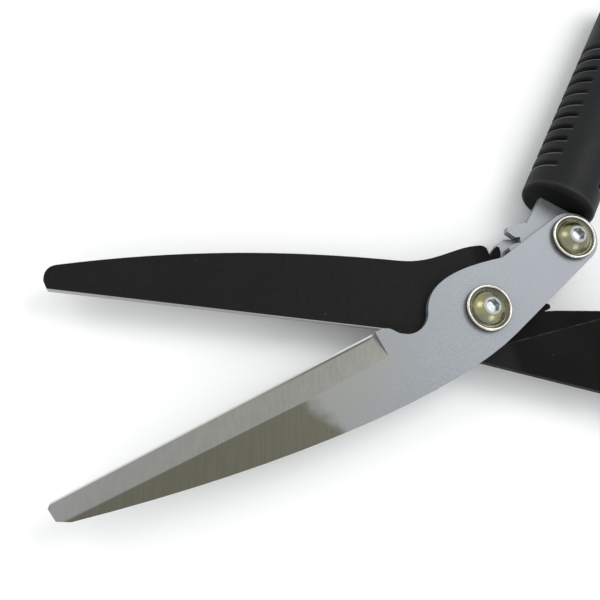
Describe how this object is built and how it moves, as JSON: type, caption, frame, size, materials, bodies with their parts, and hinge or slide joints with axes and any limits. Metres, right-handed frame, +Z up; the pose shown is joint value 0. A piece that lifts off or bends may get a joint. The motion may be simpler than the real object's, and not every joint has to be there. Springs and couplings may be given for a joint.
{
  "type": "grass shears",
  "caption": "Geared grass shears with a silver cutting blade, a black toothed blade and two ribbed oval grips, drawn open and lying on their back.",
  "frame": {"origin": "under the middle of the open shears, on the surface they lie on", "axes": "+Z up through the flat of the blades, -X towards the blade tips, +Y towards the upper handle"},
  "size_m": [0.3524, 0.238, 0.028],
  "materials": {
    "plated_steel": "satin silver coating, ground along the cutting edge",
    "coated_steel": "matte black non-stick coating",
    "yellow_zinc": "yellow zinc plating",
    "bright_steel": "bright plating",
    "bush_bronze": "plain bronze",
    "grip_rubber": "soft matte black",
    "black_plastic": "moulded black"
  },
  "bodies": {
    "lower_lever": {"black_blade": "coated_steel", "lower_grip": "grip_rubber", "lower_grip_core": "black_plastic", "lower_end_cap": "black_plastic", "lower_tang_pin_front": "bright_steel", "lower_tang_pin_rear": "bright_steel"},
    "silver_lever": {"silver_blade": "plated_steel", "rear_link_plate": "plated_steel", "pivot_bolt": "yellow_zinc", "pivot_washer": "bright_steel", "pivot_bush": "bush_bronze", "pivot_rear_washer": "yellow_zinc", "pivot_nut": "yellow_zinc", "link_bolt": "yellow_zinc", "link_washer": "bright_steel", "link_bush": "bush_bronze", "link_rear_washer": "yellow_zinc", "link_nut": "yellow_zinc"},
    "upper_handle": {"upper_tang": "plated_steel", "upper_grip": "grip_rubber", "upper_grip_core": "black_plastic", "upper_end_cap": "black_plastic", "upper_tang_pin_front": "bright_steel", "upper_tang_pin_rear": "bright_steel"}
  },
  "joints": [
    {"name": "blade_pivot", "type": "hinge", "parent": "lower_lever", "child": "silver_lever", "pos_m": [-0.00431, -0.04094, 0.014], "axis": [0, 0, 1], "range_deg": [-26, 1]},
    {"name": "upper_handle_pivot", "type": "hinge", "parent": "silver_lever", "child": "upper_handle", "pos_m": [0.03613, -0.00946, 0.014], "axis": [0, 0, 1], "range_deg": [-27.5, 1.2]}
  ],
  "couplings": [
    {"joint": "upper_handle_pivot", "follows": "blade_pivot", "ratio": 1.05}
  ]
}
